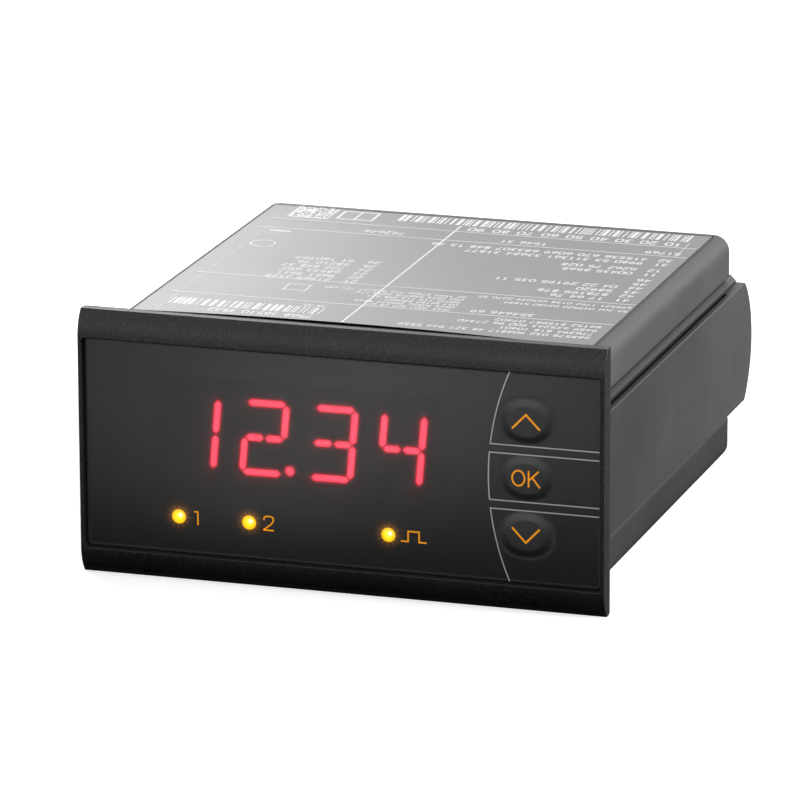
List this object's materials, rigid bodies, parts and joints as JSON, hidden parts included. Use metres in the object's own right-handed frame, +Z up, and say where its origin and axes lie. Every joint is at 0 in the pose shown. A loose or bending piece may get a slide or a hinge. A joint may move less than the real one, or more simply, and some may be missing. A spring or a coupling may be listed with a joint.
{
  "type": "digital panel meter",
  "caption": "Panel-mounted digital display meter with bright red figures, soft keys, status lamps, sliding side clamps and plug-in screw terminals.",
  "frame": {"origin": "centre of the seat: the flat rear face of the gasket, which is the front face of the panel the meter is fitted in", "axes": "+X to the right as seen from the front, +Y into the panel towards the terminals, +Z up"},
  "size_m": [0.096, 0.1053, 0.048],
  "materials": {
    "bezel": "fine grained matt, near black",
    "gasket": "matt black",
    "film": "satin charcoal film",
    "window": "clear smoked plastic",
    "lens": "clear yellow, lit",
    "key": "satin charcoal film, embossed",
    "plunger": "black",
    "switch_metal": "pressed steel cover",
    "lamp": "clear yellow, lit",
    "digit_face": "dark grey reflector face",
    "segment_lit": "red, lit",
    "segment_dark": "unlit, smoky",
    "circuit_board": "green solder resist",
    "screw_steel": "zinc plated",
    "chip": "moulded black",
    "housing": "fine grained dark grey",
    "label": "silvery printed foil",
    "clamp": "dark grey, moulded",
    "link_plastic": "black",
    "pin_metal": "tinned",
    "ferrite": "dark grey ferrite",
    "bobbin": "black",
    "copper": "enamelled copper wire under clear tape",
    "relay_case": "dark blue",
    "capacitor_can": "dark sleeve",
    "fuse_case": "black",
    "varistor": "blue lacquer",
    "isolator": "off-white",
    "header_plastic": "black",
    "plug_plastic": "black",
    "cage_metal": "nickel plated"
  },
  "bodies": {
    "meter": {"front_bezel": "bezel", "panel_gasket": "gasket", "front_film": "film", "display_window": "window", "indicator_lenses": "lens", "key_switches": "switch_metal", "status_lamp_1": "lamp", "status_lamp_2": "lamp", "status_lamp_3": "lamp", "digit_1": "digit_face", "digit_2": "digit_face", "digit_3": "digit_face", "digit_4": "digit_face", "lit_segments": "segment_lit", "dark_segments": "segment_dark", "display_board": "circuit_board", "board_screws": "screw_steel", "display_driver": "chip", "housing": "housing", "top_label": "label", "signal_board": "circuit_board", "power_board": "circuit_board", "board_links": "link_plastic", "link_pins": "pin_metal", "transformer_core": "ferrite", "transformer_bobbin": "bobbin", "transformer_winding": "copper", "output_relay_1": "relay_case", "output_relay_2": "relay_case", "bulk_capacitor": "capacitor_can", "small_capacitors": "capacitor_can", "fuse": "fuse_case", "varistor": "varistor", "signal_chips": "chip", "isolators": "isolator", "input_header": "header_plastic", "output_header": "header_plastic", "relay_header": "header_plastic", "supply_header": "header_plastic", "header_pins": "pin_metal"},
    "up_key": {"key_up": "key", "plunger_up": "plunger"},
    "ok_key": {"key_ok": "key", "plunger_ok": "plunger"},
    "down_key": {"key_down": "key", "plunger_down": "plunger"},
    "left_clamp": {"clamp_left": "clamp"},
    "right_clamp": {"clamp_right": "clamp"},
    "input_connector": {"input_plug": "plug_plastic", "input_clamps": "cage_metal", "input_screws": "screw_steel"},
    "output_connector": {"output_plug": "plug_plastic", "output_clamps": "cage_metal", "output_screws": "screw_steel"},
    "relay_connector": {"relay_plug": "plug_plastic", "relay_clamps": "cage_metal", "relay_screws": "screw_steel"},
    "supply_connector": {"supply_plug": "plug_plastic", "supply_clamps": "cage_metal", "supply_screws": "screw_steel"}
  },
  "joints": [
    {"name": "up_press", "type": "slide", "parent": "meter", "child": "up_key", "axis": [0, 1, 0], "range_m": [0, 0.0005], "stiffness_N_per_m": 2400, "springref_m": -0.0002},
    {"name": "ok_press", "type": "slide", "parent": "meter", "child": "ok_key", "axis": [0, 1, 0], "range_m": [0, 0.0005], "stiffness_N_per_m": 2400, "springref_m": -0.0002},
    {"name": "down_press", "type": "slide", "parent": "meter", "child": "down_key", "axis": [0, 1, 0], "range_m": [0, 0.0005], "stiffness_N_per_m": 2400, "springref_m": -0.0002},
    {"name": "left_clamp_slide", "type": "slide", "parent": "meter", "child": "left_clamp", "axis": [0, 1, 0], "range_m": [-0.0035, 0.06]},
    {"name": "right_clamp_slide", "type": "slide", "parent": "meter", "child": "right_clamp", "axis": [0, 1, 0], "range_m": [-0.0035, 0.06]},
    {"name": "input_pull", "type": "slide", "parent": "meter", "child": "input_connector", "axis": [0, 1, 0], "range_m": [0, 0.009]},
    {"name": "output_pull", "type": "slide", "parent": "meter", "child": "output_connector", "axis": [0, 1, 0], "range_m": [0, 0.009]},
    {"name": "relay_pull", "type": "slide", "parent": "meter", "child": "relay_connector", "axis": [0, 1, 0], "range_m": [0, 0.009]},
    {"name": "supply_pull", "type": "slide", "parent": "meter", "child": "supply_connector", "axis": [0, 1, 0], "range_m": [0, 0.009]}
  ]
}
